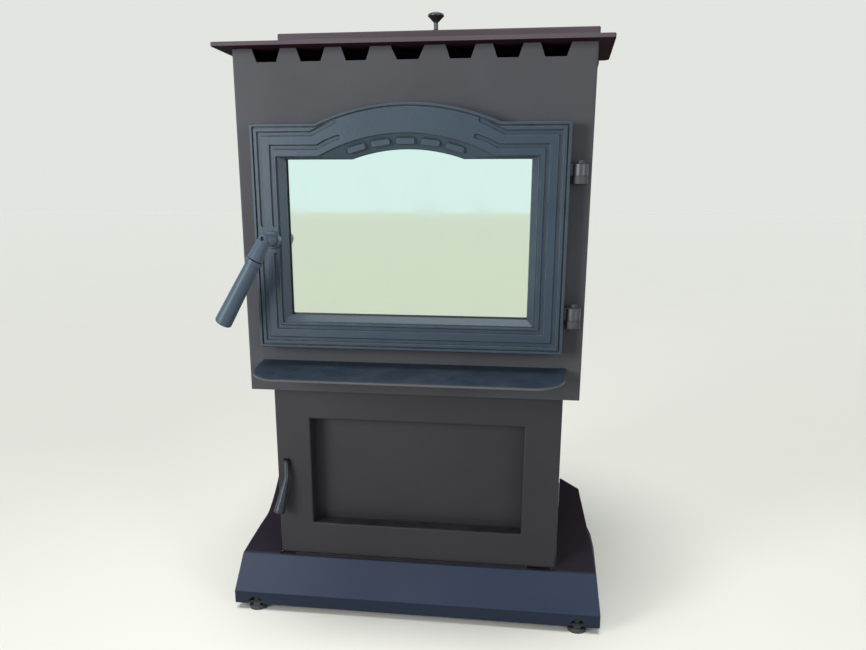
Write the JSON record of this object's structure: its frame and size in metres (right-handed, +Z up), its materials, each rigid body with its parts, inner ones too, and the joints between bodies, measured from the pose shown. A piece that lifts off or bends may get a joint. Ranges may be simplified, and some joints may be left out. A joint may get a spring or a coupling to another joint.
{
  "type": "pellet stove",
  "caption": "Pedestal pellet stove: cast fire door with arched glass, ash shelf, ash door below, flared base, top plate and rear hopper lid.",
  "frame": {"origin": "on the floor, under the middle of the whole stove's width and depth", "axes": "+Z up, the fire door faces -Y, the flue leaves toward +Y, +X to the right when facing the door"},
  "size_m": [0.6272, 0.7278, 0.9862],
  "materials": {
    "body_paint": "satin charcoal high-temperature paint",
    "top_paint": "satin charcoal paint, slightly browner where it runs hot",
    "pedestal_paint": "satin charcoal paint",
    "door_iron": "cast, painted satin charcoal",
    "bare_iron": "bare cast iron",
    "mirror_glass": "heat-resistant ceramic glass, mirror-like from outside",
    "rope": "woven glass-fibre rope",
    "white_seal": "flat woven glass-fibre tape",
    "zinc_steel": "zinc-plated steel",
    "stainless": "bare stainless steel",
    "galvanised": "galvanised sheet",
    "aluminium_wheel": "pressed aluminium",
    "motor_black": "black painted housing",
    "handle_steel": "satin charcoal paint",
    "knob_plastic": "black phenolic",
    "foot_rubber": "black rubber-faced pad on a plated stem"
  },
  "bodies": {
    "stove": {"front_panel": "body_paint", "left_side_panel": "body_paint", "right_side_panel": "body_paint", "rear_panel": "body_paint", "body_floor": "body_paint", "top_plate": "top_paint", "rear_deck": "body_paint", "hopper_funnel": "galvanised", "lid_gasket": "rope", "lid_hinge_fixed_leaves": "zinc_steel", "feed_housing": "galvanised", "gear_motor": "motor_black", "firebox_shell": "bare_iron", "ash_chute": "bare_iron", "heat_exchanger_fins": "bare_iron", "burn_pot": "bare_iron", "igniter": "stainless", "exhaust_blower_housing": "galvanised", "exhaust_motor": "motor_black", "flue_collar": "stainless", "air_intake_tube": "galvanised", "room_blower_housing": "galvanised", "room_blower_motor": "motor_black", "control_module": "knob_plastic", "power_inlet": "knob_plastic", "hinge_lugs": "body_paint", "hinge_pins": "handle_steel", "ash_shelf": "body_paint", "pedestal_front_frame": "pedestal_paint", "pedestal_walls": "pedestal_paint", "pan_shelf": "pedestal_paint", "ash_pan": "galvanised", "base_plate": "pedestal_paint", "base_shroud": "pedestal_paint"},
    "fire_door": {"door_casting": "door_iron", "door_glass": "mirror_glass", "glass_gasket": "white_seal", "glass_clips": "zinc_steel", "glass_clip_screws": "zinc_steel", "door_rope_gasket": "rope"},
    "door_handle": {"handle_arm": "handle_steel", "handle_grip": "handle_steel", "latch_cam": "zinc_steel"},
    "ash_door": {"ash_door_frame": "pedestal_paint", "ash_door_panel": "pedestal_paint", "ash_door_gasket": "rope"},
    "ash_latch": {"ash_latch_lever": "handle_steel", "ash_latch_cam": "zinc_steel"},
    "hopper_lid": {"hopper_lid": "top_paint", "lid_knob": "knob_plastic", "lid_hinge_moving_leaves": "zinc_steel"},
    "auger": {"auger": "zinc_steel"},
    "exhaust_impeller": {"exhaust_impeller": "stainless"},
    "room_blower_wheel": {"room_blower_wheel": "aluminium_wheel"},
    "feed_dial": {"feed_dial": "knob_plastic"},
    "temperature_dial": {"temperature_dial": "knob_plastic"},
    "front_left_foot": {"front_left_foot": "foot_rubber"},
    "front_right_foot": {"front_right_foot": "foot_rubber"},
    "rear_left_foot": {"rear_left_foot": "foot_rubber"},
    "rear_right_foot": {"rear_right_foot": "foot_rubber"}
  },
  "joints": [
    {"name": "fire_door_hinge", "type": "hinge", "parent": "stove", "child": "fire_door", "pos_m": [0.244, -0.2921, 0.64], "axis": [0, 0, 1], "range_deg": [0, 130]},
    {"name": "door_handle_turn", "type": "hinge", "parent": "fire_door", "child": "door_handle", "pos_m": [-0.202, -0.3061, 0.63], "axis": [0, 1, 0], "range_deg": [-26, 60]},
    {"name": "ash_door_hinge", "type": "hinge", "parent": "stove", "child": "ash_door", "pos_m": [0.2315, -0.2316, 0.244], "axis": [0, 0, 1], "range_deg": [0, 95]},
    {"name": "ash_latch_turn", "type": "hinge", "parent": "ash_door", "child": "ash_latch", "pos_m": [-0.219, -0.2371, 0.264], "axis": [0, 1, 0], "range_deg": [-20, 60]},
    {"name": "hopper_lid_hinge", "type": "hinge", "parent": "stove", "child": "hopper_lid", "pos_m": [0, 0.2779, 0.9014], "axis": [-1, 0, 0], "range_deg": [0, 75]},
    {"name": "auger_turn", "type": "hinge", "parent": "stove", "child": "auger", "pos_m": [0, 0.1039, 0.52], "axis": [0, 1, 0], "continuous": true},
    {"name": "exhaust_impeller_spin", "type": "hinge", "parent": "stove", "child": "exhaust_impeller", "pos_m": [0.17, 0.1779, 0.5], "axis": [0, 1, 0], "continuous": true},
    {"name": "room_blower_spin", "type": "hinge", "parent": "stove", "child": "room_blower_wheel", "pos_m": [-0.193, 0.1939, 0.475], "axis": [1, 0, 0], "continuous": true},
    {"name": "feed_dial_turn", "type": "hinge", "parent": "stove", "child": "feed_dial", "pos_m": [-0.2624, 0.1939, 0.76], "axis": [-1, 0, 0], "range_deg": [-135, 135]},
    {"name": "temperature_dial_turn", "type": "hinge", "parent": "stove", "child": "temperature_dial", "pos_m": [-0.2624, 0.1939, 0.7], "axis": [-1, 0, 0], "range_deg": [-135, 135]},
    {"name": "front_left_foot_turn", "type": "hinge", "parent": "stove", "child": "front_left_foot", "pos_m": [-0.277, -0.2571, 0.02], "axis": [0, 0, 1], "continuous": true},
    {"name": "front_right_foot_turn", "type": "hinge", "parent": "stove", "child": "front_right_foot", "pos_m": [0.277, -0.2571, 0.02], "axis": [0, 0, 1], "continuous": true},
    {"name": "rear_left_foot_turn", "type": "hinge", "parent": "stove", "child": "rear_left_foot", "pos_m": [-0.277, 0.2689, 0.02], "axis": [0, 0, 1], "continuous": true},
    {"name": "rear_right_foot_turn", "type": "hinge", "parent": "stove", "child": "rear_right_foot", "pos_m": [0.277, 0.2689, 0.02], "axis": [0, 0, 1], "continuous": true}
  ]
}
